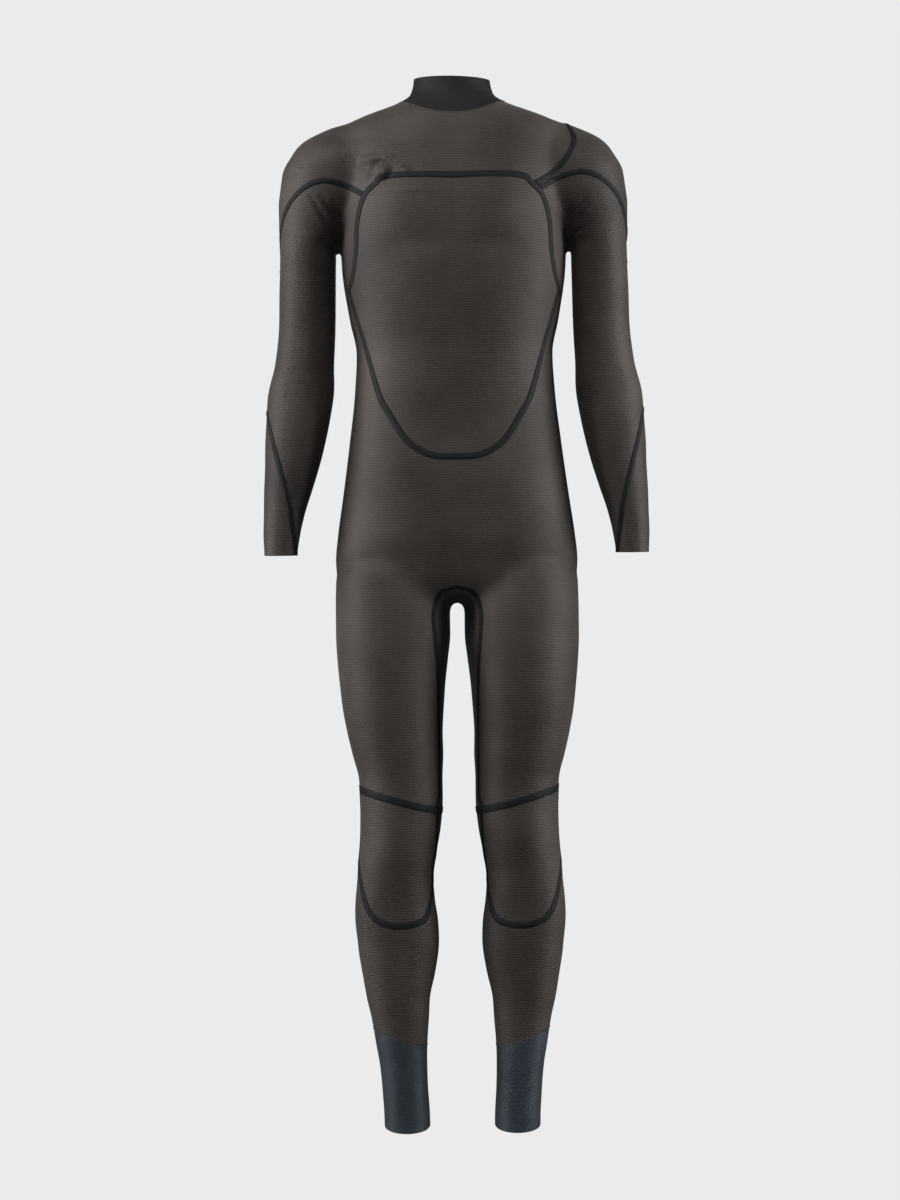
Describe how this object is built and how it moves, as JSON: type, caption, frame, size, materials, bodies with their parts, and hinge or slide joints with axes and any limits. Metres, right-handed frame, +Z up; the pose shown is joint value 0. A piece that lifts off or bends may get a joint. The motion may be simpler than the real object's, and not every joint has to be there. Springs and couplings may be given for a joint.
{
  "type": "full wetsuit",
  "caption": "Full-length chest-zip wetsuit with long sleeves, taped seams, knee pads, collar and ankle cuffs, bending at elbows and knees.",
  "frame": {"origin": "middle of the neck opening, level with the foot of the collar at the front, where a hanger or neck form holds the suit", "axes": "+Z up towards the collar, -Y is the chest side, +X is the wearer's left"},
  "size_m": [0.536, 0.2378, 1.472],
  "materials": {
    "jersey_neoprene": "knitted jersey lining on foam, matt with a soft sheen",
    "seam_tape": "smooth stretch tape, glued",
    "collar_neoprene": "smooth close-knit jersey on foam",
    "cuff_neoprene": "smooth navy jersey on foam, slight sheen",
    "zip_cloth": "woven zip tape",
    "zip_plastic": "moulded acetal"
  },
  "bodies": {
    "suit": {"collar": "collar_neoprene", "yoke": "jersey_neoprene", "chest_panel": "jersey_neoprene", "back_panel": "jersey_neoprene", "crotch_gusset": "jersey_neoprene", "seat_panel": "jersey_neoprene", "lower_body": "jersey_neoprene", "underarm_panel_right": "jersey_neoprene", "underarm_panel_left": "jersey_neoprene", "outer_sleeve_right": "jersey_neoprene", "outer_sleeve_left": "jersey_neoprene", "chest_tape": "seam_tape", "entry_tape": "seam_tape", "underarm_tape_right": "seam_tape", "underarm_tape_left": "seam_tape", "knee_top_tape_right": "seam_tape", "knee_top_tape_left": "seam_tape", "crotch_tape": "seam_tape", "seat_tape": "seam_tape", "back_tape": "seam_tape", "zip_tape_upper": "zip_cloth", "zip_tape_lower": "zip_cloth", "zip_teeth_upper": "zip_plastic", "zip_teeth_lower": "zip_plastic", "zip_stop_closed": "zip_plastic", "zip_stop_open": "zip_plastic"},
    "forearm_right": {"forearm_front_right": "jersey_neoprene", "forearm_outer_right": "jersey_neoprene", "forearm_tape_right": "seam_tape"},
    "lower_leg_right": {"knee_pad_right": "jersey_neoprene", "ankle_cuff_right": "cuff_neoprene", "calf_panel_right": "jersey_neoprene", "knee_pad_tape_right": "seam_tape"},
    "forearm_left": {"forearm_front_left": "jersey_neoprene", "forearm_outer_left": "jersey_neoprene", "forearm_tape_left": "seam_tape"},
    "lower_leg_left": {"knee_pad_left": "jersey_neoprene", "ankle_cuff_left": "cuff_neoprene", "calf_panel_left": "jersey_neoprene", "knee_pad_tape_left": "seam_tape"},
    "slider": {"zip_slider": "zip_plastic"},
    "puller": {"zip_puller": "zip_plastic"}
  },
  "joints": [
    {"name": "elbow_right", "type": "hinge", "parent": "suit", "child": "forearm_right", "pos_m": [-0.2135, -0.0555, -0.385], "axis": [-1, 0, 0], "range_deg": [0, 100], "stiffness_Nm_per_rad": 1, "springref_deg": -20.05},
    {"name": "knee_right", "type": "hinge", "parent": "suit", "child": "lower_leg_right", "pos_m": [-0.0826, 0.0612, -0.985], "axis": [1, 0, 0], "range_deg": [0, 100], "stiffness_Nm_per_rad": 1.6, "springref_deg": -25.78},
    {"name": "elbow_left", "type": "hinge", "parent": "suit", "child": "forearm_left", "pos_m": [0.2135, -0.0555, -0.385], "axis": [-1, 0, 0], "range_deg": [0, 100], "stiffness_Nm_per_rad": 1, "springref_deg": -20.05},
    {"name": "knee_left", "type": "hinge", "parent": "suit", "child": "lower_leg_left", "pos_m": [0.0826, 0.0612, -0.985], "axis": [1, 0, 0], "range_deg": [0, 100], "stiffness_Nm_per_rad": 1.6, "springref_deg": -25.78},
    {"name": "zip_run", "type": "hinge", "parent": "suit", "child": "slider", "pos_m": [0, 0.2306, -0.105], "axis": [0, 0, 1], "range_deg": [0, 29.21]},
    {"name": "puller_swing", "type": "hinge", "parent": "slider", "child": "puller", "pos_m": [-0.08199, -0.08296, -0.102], "axis": [0.9675, -0.253, 0], "range_deg": [-3, 150]}
  ]
}
